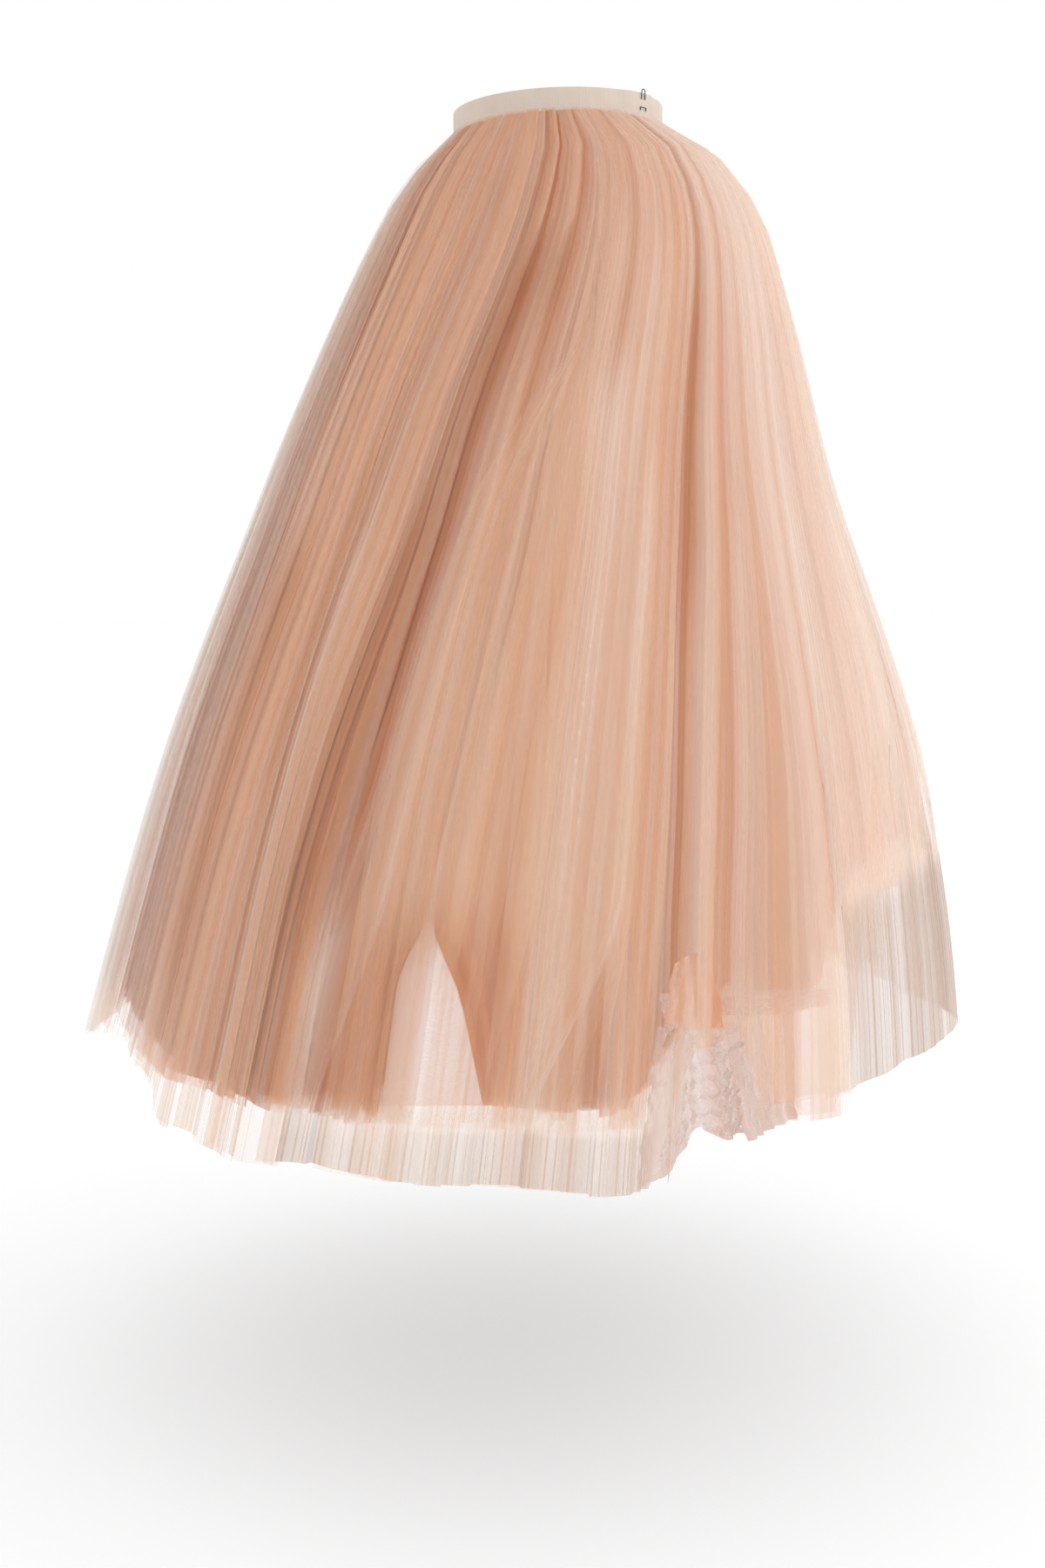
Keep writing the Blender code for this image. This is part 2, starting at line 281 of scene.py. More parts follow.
def sheet_mesh(name, across, down):
    """A flat grid of so many columns and rows, as an object, with each vertex's column and row."""
    bm = bmesh.new()
    bmesh.ops.create_grid(bm, x_segments=across - 1, y_segments=down - 1, size=0.5)
    mesh = bpy.data.meshes.new(name)
    bm.to_mesh(mesh)
    bm.free()
    flat = np.empty(len(mesh.vertices) * 3)
    mesh.vertices.foreach_get("co", flat)
    flat = flat.reshape(-1, 3)
    column = np.rint((flat[:, 0] + 0.5) * (across - 1)).astype(int)
    row = np.rint((0.5 - flat[:, 1]) * (down - 1)).astype(int)
    obj = bpy.data.objects.new(name, mesh)
    bpy.context.collection.objects.link(obj)
    return obj, column, row


def finish_sheet(obj, places, cut_across, cut_down, material, marks):
    """Put the grid's vertices in place and give it its cut as UV in metres, and marks for its material to read."""
    mesh = obj.data
    mesh.vertices.foreach_set("co", places.reshape(-1))
    corners = np.empty(len(mesh.loops), dtype=int)
    mesh.loops.foreach_get("vertex_index", corners)
    uv = np.stack((cut_across[corners], cut_down[corners]), -1)
    mesh.uv_layers.new(name="cut").data.foreach_set("uv", uv.reshape(-1))
    for mark, values in marks.items():
        mesh.attributes.new(mark, "FLOAT", "POINT").data.foreach_set("value", values.astype(np.float32))
    mesh.shade_smooth()
    mesh.set_sharp_from_angle(angle=math.radians(70))
    mesh.materials.append(material)


def hem_line(rows):
    at, drop = zip(*rows)
    return lambda azimuth: round_table(azimuth, at, drop)


def drape(name, place, width, pleats, seed, hem, material, depth, rows=38, evenness=2.2, ragged=0.004, sway=0.003,
          start=250.0, span=360.0, top=0.004, bunch=0.5, lobes=0.003, edges=None, reach=7.0, soft=0.92, open_at=None,
          drawn=0.8, painted_light=None, dense=False, thins=0.0, still=None):
    """One gathered layer on the body. place: its place in the nest; width: its cut width; depth: its pleats' half
    depth at the hem; hem: the drop of its hem by azimuth; start and span: the azimuth at the waist where it begins and
    how far it goes round; edges: the lines of its two free edges, as rows of drop and azimuth; open_at: how open its
    mesh looks by azimuth; drawn: how strongly it is drawn together and parted; painted_light: painted light and shade
    by azimuth, how much paler or deeper its tone is made; dense: whether its crevices get painted shade rather than
    open; thins: the share of its width that thins out at its end; still: where it hangs flat and smooth, 0 to 1, by
    azimuth and drop, where its colour also turns to painted shade."""
    cut, worn, rise, number = pleat_lines(pleats, seed, evenness)
    worn = bunched(worn, seed + 5, bunch, 12, 46)
    unfolded = bunched(cut, seed + 5, bunch, 12, 46)
    obj, column, row = sheet_mesh(name, len(cut), rows)
    draw = np.random.default_rng(seed + 1)
    size = draw.uniform(0.5, 1.3, pleats)[number]
    length = draw.normal(0, 1, pleats)
    length = (0.6 * length + 0.4 * np.roll(length, 1))[number]
    length[-1] = length[0]
    size[-1] = size[0]
    down = (row / (rows - 1)) ** 0.85
    waist = (start + span * worn)[column]
    lines = [columns(("drop", "azimuth"), line) for line in edges or ()]

    def place_round(drop, waist):
        azimuth = flowing(waist, drop)
        if lines and span < 360:
            first, last = (curve(drop, line["drop"], line["azimuth"]) for line in lines)
            return first + (last - first) * (waist - start) / span
        for line, end in zip(lines, (start, start + 360)):
            target = curve(drop, line["drop"], line["azimuth"]) + (end - start)
            usual = flowing(np.full_like(drop, end), drop)
            azimuth = azimuth + (target - usual) * np.exp(-np.abs(waist - end) / reach)
        return azimuth

    def open_out(drop, waist):
        """How flat the cloth hangs, and where it hangs from once its pleats have opened out there."""
        if not still:
            return np.zeros_like(drop), waist
        azimuth = place_round(drop, waist)
        return still(azimuth, drop), waist + ((start + span * unfolded)[column] - waist) * still(azimuth, drop, 0.16)

    low = np.full(len(row), 0.8)
    calm, opened = open_out(low, waist)
    longest = hem(place_round(low, opened)) + ragged * length[column] * (1 - 0.8 * calm)
    drop = top + (longest - top) * down
    calm, waist = open_out(drop, waist)
    azimuth = place_round(drop, waist)
    fade = smooth((drop - BAND_EDGE) / 0.05)
    deep = curve(drop, (0, BAND_EDGE, 0.05, 0.15, 0.4, 0.85), (0.0001, 0.0003, 0.40, 0.60, 0.8, 1.0))
    proud = depth * deep * size[column] * rise[column] * (1 - 0.7 * calm)
    proud += lobes * ripple(waist / 360, 71, 6, 34, 60) * fade * (1 - 0.7 * smooth((drop - 0.12) / 0.4))
    proud += sway * ripple(worn, seed + 3, 6, 9, 30)[column] * smooth(drop / 0.6)
    proud += big_folds(azimuth, drop) + FULLNESS * smooth(drop / 0.85)
    proud -= section("step", drop) * place
    crevice = parted(waist, drop)
    proud -= CREVICE_DEPTH * crevice
    places, out = surface(azimuth, drop, proud)
    bundle = gathered(waist, drop)
    # Tone runs paler where the sheer layers bunch and darker where they part; the darker tone in the partings is
    # painted shade.
    tone = 1.1 * bundle
    cover = 1 + drawn * bundle
    if open_at:
        cover = cover * open_at(azimuth)
    # Painted light and shade: each layer's tone paler at the two sides and deeper in front, by azimuth.
    if painted_light:
        tone = tone + painted_light(azimuth)
    if still:
        cover = cover * (1 - calm) + 3.8 * calm
        # Where it hangs flat, its tone goes to the painted shade of cloth seen against the light.
        tone = tone * (1 - calm) + 3.2 * calm
    # Dense layers get painted shade in their crevices; sheer layers open there instead.
    if dense:
        tone = tone - 3 * crevice ** 2
    else:
        cover = cover * (1 - 0.75 * crevice)
    if thins:
        cover = cover * smooth((1 - worn[column]) / thins)
    finish_sheet(obj, places, cut[column] * width, drop, material, {"cover": cover, "tone": tone})
    soften(obj, out, soft - 0.35 * smooth((0.20 - drop) / 0.12))
    return obj


def flap(name, place, width, length, material, top, bottom, seed, folds, depth, crumple, rows=34, across=46, cover=1.0):
    """A loose end of cloth between two lines, each of rows of azimuth and drop. folds: how many creases run over it
    and how far they slant, in widths; depth: their half depth; crumple: how far it is crushed."""
    obj, column, row = sheet_mesh(name, across, rows)
    along, down = column / (across - 1), row / (rows - 1)
    ends = []
    for line in (top, bottom):
        at, drops = zip(*line)
        steps = np.linspace(0, 1, len(line))
        ends.append((np.interp(along, steps, at), np.interp(along, steps, drops)))
    azimuth = ends[0][0] * (1 - down) + ends[1][0] * down
    drop = ends[0][1] * (1 - down) + ends[1][1] * down
    count, slant = folds
    run = along + slant * down
    peaks = np.abs(((count * run + 0.35 * ripple(along, seed, 3, 1, 4)) % 1) * 2 - 1) * 2 - 1
    crushed = ripple(along * 0.7 + down * 0.3, seed + 1, 6, 3, 11) * ripple(down * 0.8 - along * 0.2, seed + 2, 5, 2, 8)
    azimuth = azimuth + crumple * 60 * ripple(down, seed + 3, 4, 1, 5) * down
    proud = depth * peaks + crumple * crushed
    proud += big_folds(azimuth, drop) + FULLNESS * smooth(drop / 0.85) - section("step", drop) * place
    places, out = surface(azimuth, drop, proud)
    even = np.full(len(row), cover)
    # The tone follows the crumple: painted light where it stands out, painted shade where it sinks.
    finish_sheet(obj, places, along * width, down * length, material, {"cover": even, "tone": 0.3 * crushed})
    soften(obj, out, np.full(len(row), 0.45))
    return obj


def soften(obj, out, soft):
    """Turn the shading of thin see-through cloth towards the way out of the form, so that light seems to pass
    through its small pleats."""
    mesh = obj.data
    count = len(mesh.loops)
    corner = np.empty(count, dtype=int)
    mesh.loops.foreach_get("vertex_index", corner)
    own = np.empty(count * 3)
    mesh.corner_normals.foreach_get("vector", own)
    own = own.reshape(-1, 3)
    face = np.empty(len(mesh.polygons) * 3)
    mesh.polygons.foreach_get("normal", face)
    sizes = np.empty(len(mesh.polygons), dtype=int)
    mesh.polygons.foreach_get("loop_total", sizes)
    face = np.repeat(face.reshape(-1, 3), sizes, axis=0)
    way = out[corner] * np.where((face * out[corner]).sum(1, keepdims=True) < 0, -1, 1)
    soft = soft[corner][:, None]
    blend = own * (1 - soft) + way * soft
    blend /= np.linalg.norm(blend, axis=1, keepdims=True)
    mesh.normals_split_custom_set(blend.tolist())


# ---- finishes ----------------------------------------------------------------------------------------------------
def new_material(name):
    material = bpy.data.materials.new(name)
    material.use_nodes = True
    return material, material.node_tree.nodes, material.node_tree.links


CREVICE_PAINTED_SHADE = (0.60, 0.54, 0.50)  # painted shade: what is left of each colour channel at the bottom of a crevice

FLAT_HUNG_PAINTED_SHADE = tuple((v / 255) ** 2.2 for v in (214, 192, 178))  # painted shade of cloth that hangs flat with nothing behind it, seen against the light


def tulle(name, pale, deep, veil, crease, lines, grain=0.0, shade=0.22):
    """Sheer cloth. veil: how much of the view a single flat layer hides; crease: how much more its crease lines
    hide; lines: crease lines a metre; grain: how far its mesh shows; shade: how far its tone runs to pale or deep."""
    material, nodes, links = new_material(name)
    shader = nodes["Principled BSDF"]
    shader.inputs["Roughness"].default_value = 0.75
    shader.inputs["Specular IOR Level"].default_value = 0.2
    shader.inputs["Sheen Weight"].default_value = 0.10
    shader.inputs["Sheen Roughness"].default_value = 0.4
    uv = nodes.new("ShaderNodeUVMap")
    apart = nodes.new("ShaderNodeSeparateXYZ")
    links.new(uv.outputs["UV"], apart.inputs["Vector"])

    def across(a_metre, detail):
        noise = nodes.new("ShaderNodeTexNoise")
        noise.noise_dimensions = "1D"
        noise.inputs["Scale"].default_value = a_metre
        noise.inputs["Detail"].default_value = detail
        links.new(apart.outputs["X"], noise.inputs["W"])
        return noise.outputs["Fac"]

    def flat(a_metre_across, a_metre_down, detail):
        stretch = nodes.new("ShaderNodeMapping")
        stretch.inputs["Scale"].default_value = (a_metre_across, a_metre_down, 1)
        noise = nodes.new("ShaderNodeTexNoise")
        noise.noise_dimensions = "2D"
        noise.inputs["Scale"].default_value = 1.0
        noise.inputs["Detail"].default_value = detail
        links.new(uv.outputs["UV"], stretch.inputs["Vector"])
        links.new(stretch.outputs["Vector"], noise.inputs["Vector"])
        return noise.outputs["Fac"]

    def spread(value, low, high, to_low, to_high):
        ramp = nodes.new("ShaderNodeMapRange")
        ramp.interpolation_type = "SMOOTHSTEP"
        links.new(value, ramp.inputs["Value"])
        for socket, number in zip(("From Min", "From Max", "To Min", "To Max"), (low, high, to_low, to_high)):
            ramp.inputs[socket].default_value = number
        return ramp.outputs["Result"]

    def both(operation, first, second):
        result = nodes.new("ShaderNodeMath")
        result.operation = operation
        links.new(first, result.inputs[0])
        links.new(second, result.inputs[1])
        return result.outputs["Value"]

    def mark(name):
        node = nodes.new("ShaderNodeAttribute")
        node.attribute_name = name
        return node.outputs["Fac"]

    fine = spread(across(lines, 0.0), 0.54, 0.70, 0.0, 1.6 * crease)
    broad = spread(across(lines / 9, 0.0), 0.3, 0.7, veil - 0.5 * crease, veil + 0.5 * crease)
    cover = both("ADD", fine, broad)
    if grain:
        cover = both("ADD", cover, spread(flat(700, 700, 0.0), 0.35, 0.65, -grain, grain))
    cover = both("MULTIPLY", cover, mark("cover"))
    tint = nodes.new("ShaderNodeMix")
    tint.data_type = "RGBA"
    tint.inputs["A"].default_value = (*deep, 1)
    tint.inputs["B"].default_value = (*pale, 1)
    own = spread(across(lines / 5, 0.0), 0.5 - shade, 0.5 + shade, 0.0, 1.0)
    tone = mark("tone")
    even = nodes.new("ShaderNodeMath")
    even.operation = "MULTIPLY_ADD"
    even.inputs[1].default_value = 0.7
    links.new(tone, even.inputs[0])
    links.new(own, even.inputs[2])
    links.new(even.outputs["Value"], tint.inputs["Factor"])
    # Painted shade at the bottom of crevices, where the tone falls below -1.2.
    painted_crevice_shade = nodes.new("ShaderNodeMix")
    painted_crevice_shade.data_type = "RGBA"
    painted_crevice_shade.inputs["B"].default_value = (*(v * f for v, f in zip(deep, CREVICE_PAINTED_SHADE)), 1)
    links.new(tint.outputs["Result"], painted_crevice_shade.inputs["A"])
    links.new(spread(tone, -3.0, -1.2, 1.0, 0.0), painted_crevice_shade.inputs["Factor"])
    # Painted shade of cloth hung flat against the light, where the tone rises above 1.9.
    painted_flat_shade = nodes.new("ShaderNodeMix")
    painted_flat_shade.data_type = "RGBA"
    painted_flat_shade.inputs["B"].default_value = (*FLAT_HUNG_PAINTED_SHADE, 1)
    links.new(painted_crevice_shade.outputs["Result"], painted_flat_shade.inputs["A"])
    links.new(spread(tone, 1.9, 3.1, 0.0, 1.0), painted_flat_shade.inputs["Factor"])
    links.new(painted_flat_shade.outputs["Result"], shader.inputs["Base Color"])
    through = nodes.new("ShaderNodeBsdfTranslucent")
    links.new(painted_flat_shade.outputs["Result"], through.inputs["Color"])
    cloth = nodes.new("ShaderNodeMixShader")
    cloth.inputs["Fac"].default_value = 0.45
    links.new(shader.outputs["BSDF"], cloth.inputs[1])
    links.new(through.outputs["BSDF"], cloth.inputs[2])
    clear = nodes.new("ShaderNodeBsdfTransparent")
    sheer = nodes.new("ShaderNodeMixShader")
    links.new(cover, sheer.inputs["Fac"])
    links.new(clear.outputs["BSDF"], sheer.inputs[1])
    links.new(cloth.outputs["Shader"], sheer.inputs[2])
    links.new(sheer.outputs["Shader"], nodes["Material Output"].inputs["Surface"])
    return material


def dress_band(obj):
    """Grosgrain: fine ribs that run up the ribbon, and a row of stitches."""
    material, nodes, links = new_material("ivory grosgrain")
    shader = nodes["Principled BSDF"]
    shader.inputs["Roughness"].default_value = 0.6
    shader.inputs["Sheen Weight"].default_value = 0.15
    shader.inputs["Specular IOR Level"].default_value = 0.3
    place = nodes.new("ShaderNodeTexCoord")
    apart = nodes.new("ShaderNodeSeparateXYZ")
    links.new(place.outputs["Object"], apart.inputs["Vector"])

    def sums(operation, first, second, third=None):
        node = nodes.new("ShaderNodeMath")
        node.operation = operation
        for socket, value in zip(node.inputs, (first, second, third)):
            if value is None:
                continue
            if isinstance(value, (int, float)):
                socket.default_value = value
            else:
                links.new(value, socket)
        return node.outputs["Value"]

    x = sums("DIVIDE", apart.outputs["X"], 0.1075)
    y = sums("DIVIDE", apart.outputs["Y"], 0.0825)
    turn = sums("ARCTAN2", x, y)
    ribs = sums("SINE", sums("MULTIPLY", turn, 560.0), 0.0)
    height = sums("SUBTRACT", apart.outputs["Z"], sums("MULTIPLY", apart.outputs["Y"], math.tan(BAND_TILT)))
    below = sums("ABSOLUTE", sums("ADD", height, BAND_EDGE - 0.0022), 0.0)
    near = nodes.new("ShaderNodeMapRange")
    near.interpolation_type = "SMOOTHSTEP"
    links.new(below, near.inputs["Value"])
    for socket, number in zip(("From Min", "From Max", "To Min", "To Max"), (0.0003, 0.0007, 1.0, 0.0)):
        near.inputs[socket].default_value = number
    stitch = sums("MULTIPLY", near.outputs["Result"], sums("GREATER_THAN", sums("SINE", sums("MULTIPLY", turn, 210.0), 0.0), -0.2))
    cloud = nodes.new("ShaderNodeTexNoise")
    cloud.inputs["Scale"].default_value = 60
    cloud.inputs["Detail"].default_value = 3
    links.new(place.outputs["Object"], cloud.inputs["Vector"])
    tone = sums("MULTIPLY_ADD", ribs, 0.10, sums("MULTIPLY_ADD", cloud.outputs["Fac"], 0.5, sums("MULTIPLY", stitch, -0.35)))
    tint = nodes.new("ShaderNodeMix")
    tint.data_type = "RGBA"
    tint.inputs["A"].default_value = (*srgb(206, 190, 176), 1)
    tint.inputs["B"].default_value = (*srgb(229, 216, 203), 1)
    links.new(tone, tint.inputs["Factor"])
    links.new(tint.outputs["Result"], shader.inputs["Base Color"])
    bump = nodes.new("ShaderNodeBump")
    bump.inputs["Strength"].default_value = 0.35
    bump.inputs["Distance"].default_value = 0.0003
    links.new(sums("ADD", ribs, stitch), bump.inputs["Height"])
    links.new(bump.outputs["Normal"], shader.inputs["Normal"])
    obj.data.materials.clear()
    obj.data.materials.append(material)


def dress_wire(obj, material):
    obj.data.materials.clear()
    obj.data.materials.append(material)


def blackened_wire():
    """Dark lacquered wire, worn to bare metal in specks."""
    material, nodes, links = new_material("blackened wire")
    shader = nodes["Principled BSDF"]
    shader.inputs["Metallic"].default_value = 0.9
    place = nodes.new("ShaderNodeTexCoord")
    wear = nodes.new("ShaderNodeTexNoise")
    wear.inputs["Scale"].default_value = 900
    links.new(place.outputs["Object"], wear.inputs["Vector"])
    tint = nodes.new("ShaderNodeMix")
    tint.data_type = "RGBA"
    tint.inputs["A"].default_value = (0.05, 0.045, 0.045, 1)
    tint.inputs["B"].default_value = (0.32, 0.29, 0.27, 1)
    worn = nodes.new("ShaderNodeMapRange")
    links.new(wear.outputs["Fac"], worn.inputs["Value"])
    worn.inputs["From Min"].default_value = 0.55
    worn.inputs["From Max"].default_value = 0.75
    links.new(worn.outputs["Result"], tint.inputs["Factor"])
    links.new(tint.outputs["Result"], shader.inputs["Base Color"])
    rough = nodes.new("ShaderNodeMapRange")
    links.new(wear.outputs["Fac"], rough.inputs["Value"])
    rough.inputs["To Min"].default_value = 0.55
    rough.inputs["To Max"].default_value = 0.3
    links.new(rough.outputs["Result"], shader.inputs["Roughness"])
    return material


def srgb(*levels):
    return tuple((v / 255) ** 2.2 for v in levels)


# ---- the layers --------------------------------------------------------------------------------------------------
OUTER_HEM = ((10, 0.797), (42, 0.799), (60, 0.777), (72.5, 0.793), (74.5, 0.827), (100, 0.827), (125, 0.832), (141.2, 0.837),
             (142.0, 0.742), (151, 0.732), (153, 0.787), (170, 0.787), (205, 0.792), (250, 0.807), (300, 0.797), (340, 0.807))
PLEATED_HEM = ((10, 0.787), (42, 0.787), (56, 0.772), (75, 0.787), (95, 0.787), (120, 0.787), (140, 0.787), (142, 0.722), (151, 0.727), (154, 0.799),
               (168.3, 0.807), (169.8, 0.647), (205, 0.637), (228, 0.647), (232, 0.777), (250, 0.787), (300, 0.777), (340, 0.787))
PEACH_HEM = ((10, 0.747), (42, 0.762), (75, 0.787), (95, 0.787), (107, 0.777), (119, 0.772), (133, 0.777), (141, 0.737),
             (148, 0.687), (160, 0.707), (170, 0.647), (205, 0.637), (230, 0.647), (255, 0.727), (300, 0.737), (340, 0.747))
CORAL_HEM = ((10, 0.727), (42, 0.747), (75, 0.772), (95, 0.777), (107, 0.767), (133, 0.767), (145, 0.717), (160, 0.647),
             (180, 0.537), (205, 0.547), (250, 0.667), (300, 0.717), (340, 0.727))
NET_HEM = ((10, 0.757), (42, 0.757), (75, 0.772), (95, 0.787), (107, 0.777), (119, 0.772), (139, 0.777), (142, 0.717), (160, 0.727),
           (172, 0.627), (205, 0.597), (228, 0.647), (250, 0.747), (300, 0.757), (340, 0.757))


# The free edges of the open layers, as rows of drop and azimuth: the edge that a layer begins with, and its last.
OUTER_EDGES = (
    ((0.0, 130), (0.037, 126), (0.127, 119.0), (0.227, 111.7), (0.337, 107.0), (0.437, 102.3), (0.537, 99.2), (0.637, 96.5), (0.847, 95.5)),
    ((0.0, 129), (0.037, 125), (0.127, 117.5), (0.227, 109.8), (0.337, 105), (0.437, 100.5), (0.537, 98), (0.637, 96.5), (0.847, 96)),
)
PLEATED_EDGES = (
    ((0.0, 130), (0.037, 126), (0.127, 118.8), (0.227, 111.4), (0.337, 106.6), (0.437, 101.8), (0.537, 98.8), (0.637, 95.5), (0.847, 94)),
    ((0.0, 129), (0.037, 125), (0.127, 117.5), (0.227, 109.8), (0.337, 105), (0.437, 100.5), (0.537, 98), (0.637, 97), (0.847, 97)),
)
PEACH_EDGES = (
    ((0.0, 142), (0.127, 132.7), (0.227, 126), (0.337, 121.5), (0.437, 117), (0.587, 111), (0.627, 110.5), (0.687, 115), (0.777, 119.5)),
    ((0.0, 142), (0.127, 132.7), (0.227, 126), (0.337, 121.5), (0.437, 117), (0.587, 111), (0.627, 110), (0.687, 106.5), (0.777, 106.5)),
)
FAN_EDGES = (
    ((0.0, 137), (0.087, 134), (0.177, 131), (0.247, 120), (0.324, 111), (0.437, 105), (0.587, 101), (0.847, 100)),
    ((0.0, 141), (0.087, 138), (0.167, 134), (0.267, 139), (0.367, 144), (0.487, 147), (0.847, 150)),
)

# Loose ends under the sheer layers on the right, where the net is twisted and turned up: azimuth and drop along the
# top and the bottom of each.
TWIST_TOP = ((140, 0.690), (145, 0.694), (150, 0.699), (156, 0.697), (161, 0.700), (164, 0.704))
TWIST_BOTTOM = ((141, 0.716), (145, 0.722), (150, 0.713), (156, 0.718), (161, 0.716), (164, 0.718))
PUFF_TOP = ((141.5, 0.668), (144, 0.662), (147.5, 0.660))
PUFF_BOTTOM = ((140.5, 0.712), (145, 0.720), (149.5, 0.722))
LOOSE_TOP = ((140, 0.716), (143, 0.712), (147, 0.716), (152, 0.722))
LOOSE_BOTTOM = ((138, 0.840), (141.5, 0.832), (146.5, 0.797), (150.5, 0.812), (152, 0.806))
TAIL_TOP = ((149, 0.712), (153, 0.716), (158, 0.716))
TAIL_BOTTOM = ((152.5, 0.814), (155, 0.806), (158.5, 0.800))

# Painted light and shade by azimuth, added to each layer's tone: paler at the two sides, where light shines through the
# cloth, and deeper in front.
PAINTED_LIGHT_ROWS = ((10, 0.0), (40, 0.6), (52, 1.1), (60, 0.7), (70, 0.0), (80, -0.4), (120, -0.45), (140, -0.25), (158, 0.0),
             (170, 0.5), (185, 1.1), (210, 1.1), (235, 0.4), (260, -0.2), (300, -0.3), (340, -0.2))
SHEER_ROWS = ((10, 1.0), (36, 0.9), (46, 0.8), (57, 0.6), (66, 0.85), (76, 1.0), (165, 1.0), (176, 1.3), (200, 1.6), (215, 1.4), (235, 1.0),
              (300, 1.0))
# How much of each dense layer's usual cover it keeps, by azimuth: thin at the two sides, close at the front.
THIN_ROWS = ((10, 0.95), (36, 0.70), (46, 0.30), (56, 0.28), (64, 0.55), (72, 0.95), (80, 1.05), (148, 1.05), (160, 0.85),
             (170, 0.60), (180, 0.35), (190, 0.20), (210, 0.20), (232, 0.55), (255, 0.95), (300, 1.05), (340, 1.0))


def hangs_flat(azimuth, drop, run=0.0):
    """Where the outermost layer hangs smooth and alone, 0 to 1. run: how much higher up this begins."""
    side = smooth((azimuth - 165) / 5) * smooth((226 - azimuth) / 12) * smooth((drop - 0.60 + run) / (0.06 + run))
    front = smooth((azimuth - 66) / 8) * smooth((144 - azimuth) / 3) * smooth((drop - 0.765 + run) / (0.03 + run))
    return np.maximum(side, 0.85 * front)


def make_cloth():
    outer_finish = tulle("champagne tulle", srgb(243, 224, 210), srgb(237, 192, 158), 0.165, 0.08, 420)
    pleated_finish = tulle("blush pleated tulle", srgb(243, 218, 202), srgb(235, 178, 142), 0.175, 0.10, 460)
    peach_finish = tulle("peach tulle", srgb(244, 202, 182), srgb(226, 154, 117), 0.65, 0.10, 240)
    coral_finish = tulle("coral tulle", srgb(244, 190, 164), srgb(222, 144, 105), 1.0, 0.10, 200)
    net_finish = tulle("pale pink net", srgb(242, 218, 208), srgb(230, 196, 182), 0.60, 0.12, 160, 0.07)
    thin, painted_light, sheer = hem_line(THIN_ROWS), hem_line(PAINTED_LIGHT_ROWS), hem_line(SHEER_ROWS)
    made = {
        "fan": drape("outer_sheer_panel", -0.35, 0.60, 16, 17, hem_line(OUTER_HEM), outer_finish, 0.0012,
                     ragged=0.002, start=137, span=14, edges=FAN_EDGES, bunch=0.2, open_at=lambda azimuth: 1.1, painted_light=painted_light, thins=0.9),
        "outer": drape("outer_sheer_layer", 0, 4.2, 118, 11, hem_line(OUTER_HEM), outer_finish, 0.0018,
                       ragged=0.004, start=129, edges=OUTER_EDGES, open_at=sheer, painted_light=painted_light, still=hangs_flat),
        "pleated": drape("pleated_sheer_layer", 1, 4.4, 138, 23, hem_line(PLEATED_HEM), pleated_finish, 0.0018,
                         ragged=0.006, start=129, edges=PLEATED_EDGES, open_at=sheer, painted_light=painted_light),
        "peach": drape("peach_layer", 2, 3.8, 160, 37, hem_line(PEACH_HEM), peach_finish, 0.0013,
                       ragged=0.006, start=142, edges=PEACH_EDGES, open_at=thin, drawn=0.1, painted_light=painted_light, dense=True),
        "coral": drape("coral_layer", 2.6, 3.6, 120, 41, hem_line(CORAL_HEM), coral_finish, 0.0013,
                       ragged=0.006, start=142, edges=PEACH_EDGES, open_at=thin, drawn=0.0, painted_light=painted_light, dense=True),
        "twist": flap("inner_net_twisted_end", 1.5, 0.24, 0.035, net_finish, TWIST_TOP, TWIST_BOTTOM, 61, (5, 0.8), 0.0035, 0.004,
                      rows=18, across=60, cover=1.3),
        "puff": flap("peach_layer_turned_corner", 0.6, 0.08, 0.055, peach_finish, PUFF_TOP, PUFF_BOTTOM, 67, (3, 0.5), 0.003, 0.003,
                     rows=26, across=30, cover=1.4),
        "loose": flap("inner_net_loose_end", 1.6, 0.10, 0.11, net_finish, LOOSE_TOP, LOOSE_BOTTOM, 73, (6, 1.1), 0.004, 0.005,
                      cover=1.3),
        "tail": flap("inner_net_pleated_tail", 1.2, 0.07, 0.10, net_finish, TAIL_TOP, TAIL_BOTTOM, 79, (5, 0.1), 0.004, 0.002,
                     cover=1.5),
        "net": drape("inner_net_layer", 3.3, 3.2, 60, 53, hem_line(NET_HEM), net_finish, 0.0030,
                     ragged=0.008, start=290),
    }
    for key, node, slot, cut in (("fan", "outer_tulle", "outer_tulle", (0.60, 0.85)),
                                 ("outer", "outer_tulle", "outer_tulle", (4.2, 0.84)),
                                 ("pleated", "pleated_tulle", "pleated_tulle", (4.4, 0.81)),
                                 ("peach", "peach_tulle", "peach_tulle", (3.8, 0.77)),
                                 ("coral", "peach_tulle", "peach_tulle", (3.6, 0.74)),
                                 ("twist", "inner_net", "inner_net", (0.24, 0.035)),
                                 ("puff", "peach_tulle", "peach_tulle", (0.08, 0.055)),
                                 ("loose", "inner_net", "inner_net", (0.10, 0.11)),
                                 ("tail", "inner_net", "inner_net", (0.07, 0.10)),
                                 ("net", "inner_net", "inner_net", (3.2, 0.78))):
        piece = made[key]
        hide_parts(node)
        piece.visible_shadow = key == "coral"
        piece.visible_diffuse = key in ("peach", "coral")
        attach(piece, "root")


# ---- light, floor and camera -------------------------------------------------------------------------------------
CAMERA_AZIMUTH = math.radians(124)
CAMERA_AWAY = 1.92
CAMERA_DROP = 0.282
CAMERA_SIDE = 0.0317
CAMERA_PITCH = math.radians(8.8)
FLOOR_DROP = 1.12


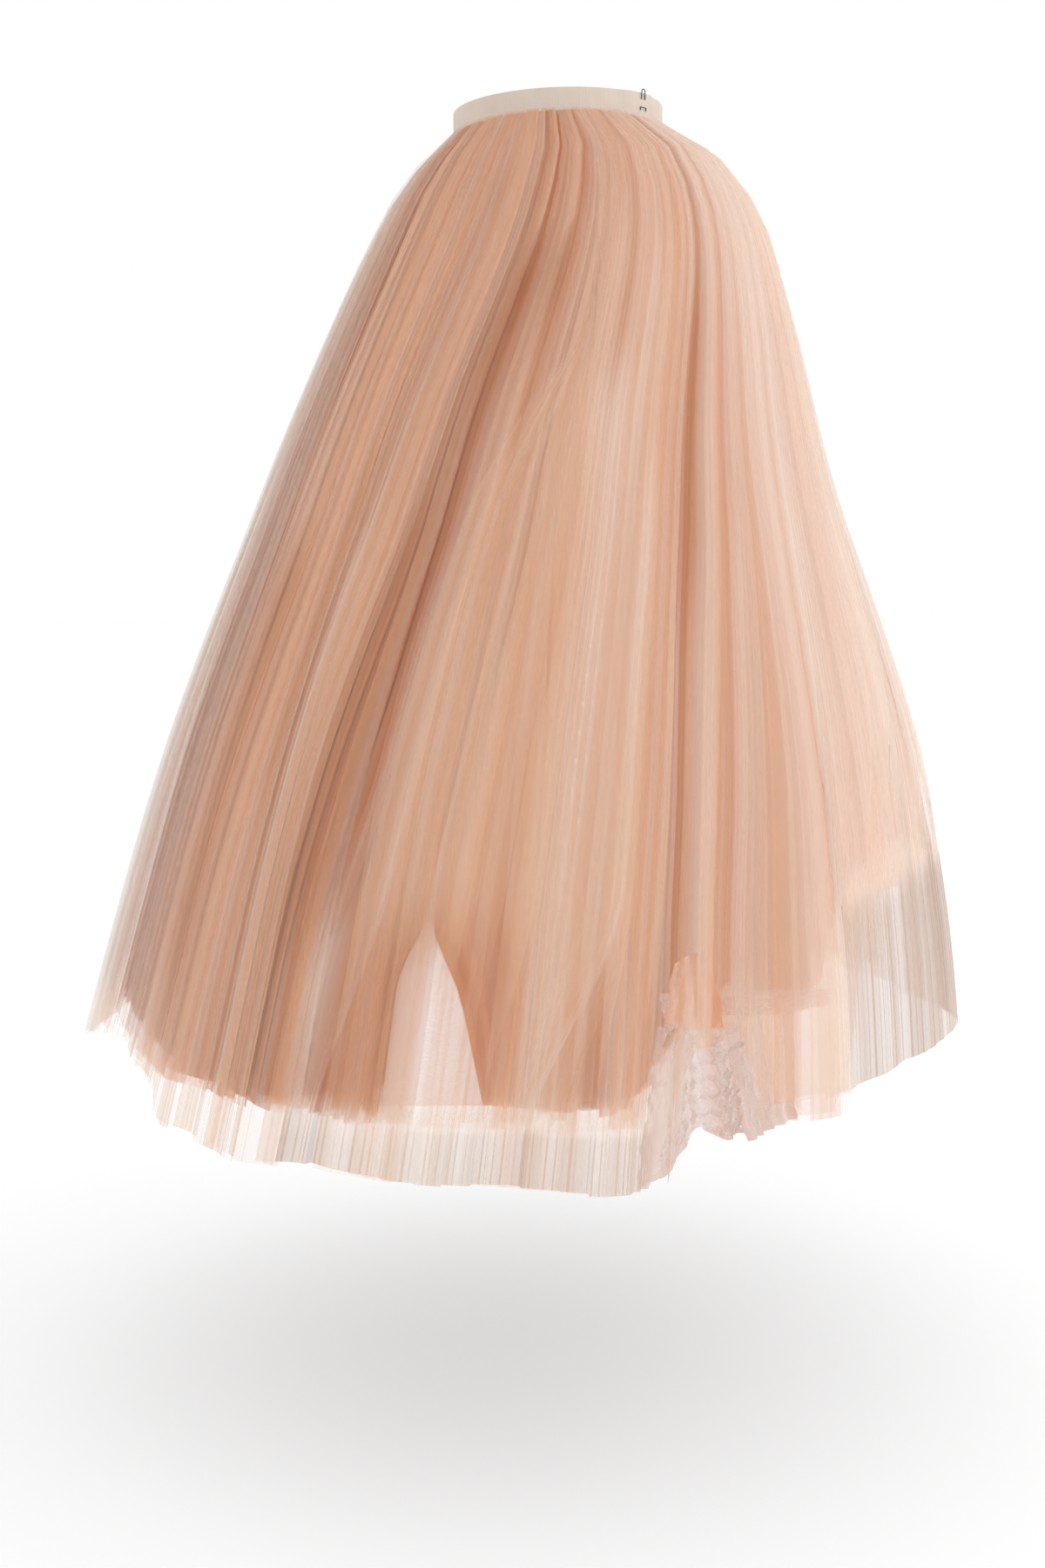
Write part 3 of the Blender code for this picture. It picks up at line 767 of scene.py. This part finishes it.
def make_camera():
    toward = (math.sin(CAMERA_AZIMUTH), -math.cos(CAMERA_AZIMUTH))
    side = (math.cos(CAMERA_AZIMUTH), math.sin(CAMERA_AZIMUTH))
    data = bpy.data.cameras.new("camera")
    data.lens = 49.0
    data.sensor_width = 36.0
    data.clip_end = 50
    camera = bpy.data.objects.new("camera", data)
    camera.location = (toward[0] * CAMERA_AWAY - side[0] * CAMERA_SIDE, toward[1] * CAMERA_AWAY - side[1] * CAMERA_SIDE,
                       -CAMERA_DROP)
    camera.rotation_euler = (math.radians(90) - CAMERA_PITCH, 0, math.atan2(side[1], side[0]))
    bpy.context.collection.objects.link(camera)
    bpy.context.scene.camera = camera


def area_light(name, azimuth, away, height, size, power, colour=(1, 1, 1)):
    """A soft light at an azimuth that looks at the middle of the skirt."""
    data = bpy.data.lights.new(name, "AREA")
    data.shape = "SQUARE"
    data.size = size
    data.energy = power
    data.color = colour
    lamp = bpy.data.objects.new(name, data)
    angle = math.radians(azimuth)
    lamp.location = (away * math.sin(angle), -away * math.cos(angle), height)
    aim = lamp.location.copy()
    aim.z -= -0.45
    lamp.rotation_euler = aim.to_track_quat("Z", "Y").to_euler()
    bpy.context.collection.objects.link(lamp)


def make_studio():
    world = bpy.data.worlds.new("studio")
    world.use_nodes = True
    world.node_tree.nodes["Background"].inputs["Color"].default_value = (1, 1, 1, 1)
    world.node_tree.nodes["Background"].inputs["Strength"].default_value = 1.0
    bpy.context.scene.world = world
    bm = bmesh.new()
    bmesh.ops.create_circle(bm, cap_ends=True, radius=9, segments=64)
    bmesh.ops.translate(bm, verts=bm.verts, vec=(0, 0, -FLOOR_DROP))
    mesh = bpy.data.meshes.new("floor")
    bm.to_mesh(mesh)
    bm.free()
    floor = bpy.data.objects.new("floor", mesh)
    bpy.context.collection.objects.link(floor)
    material, nodes, _ = new_material("white floor")
    nodes["Principled BSDF"].inputs["Base Color"].default_value = (1.0, 1.0, 1.0, 1)
    nodes["Principled BSDF"].inputs["Roughness"].default_value = 0.9
    mesh.materials.append(material)
    area_light("key light", 212, 3.0, 0.2, 3.6, 38)
    area_light("front light", 78, 3.6, 0.9, 2.4, 5)
    scene = bpy.context.scene
    scene.view_settings.view_transform = "Standard"
    scene.cycles.transparent_max_bounces = 40
    scene.cycles.max_bounces = 2
    scene.cycles.diffuse_bounces = 1


make_cloth()
dress_band(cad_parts["waistband"])
wire = blackened_wire()
for node in ("hook", "eye_bar"):
    dress_wire(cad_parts[node], wire)
make_camera()
make_studio()
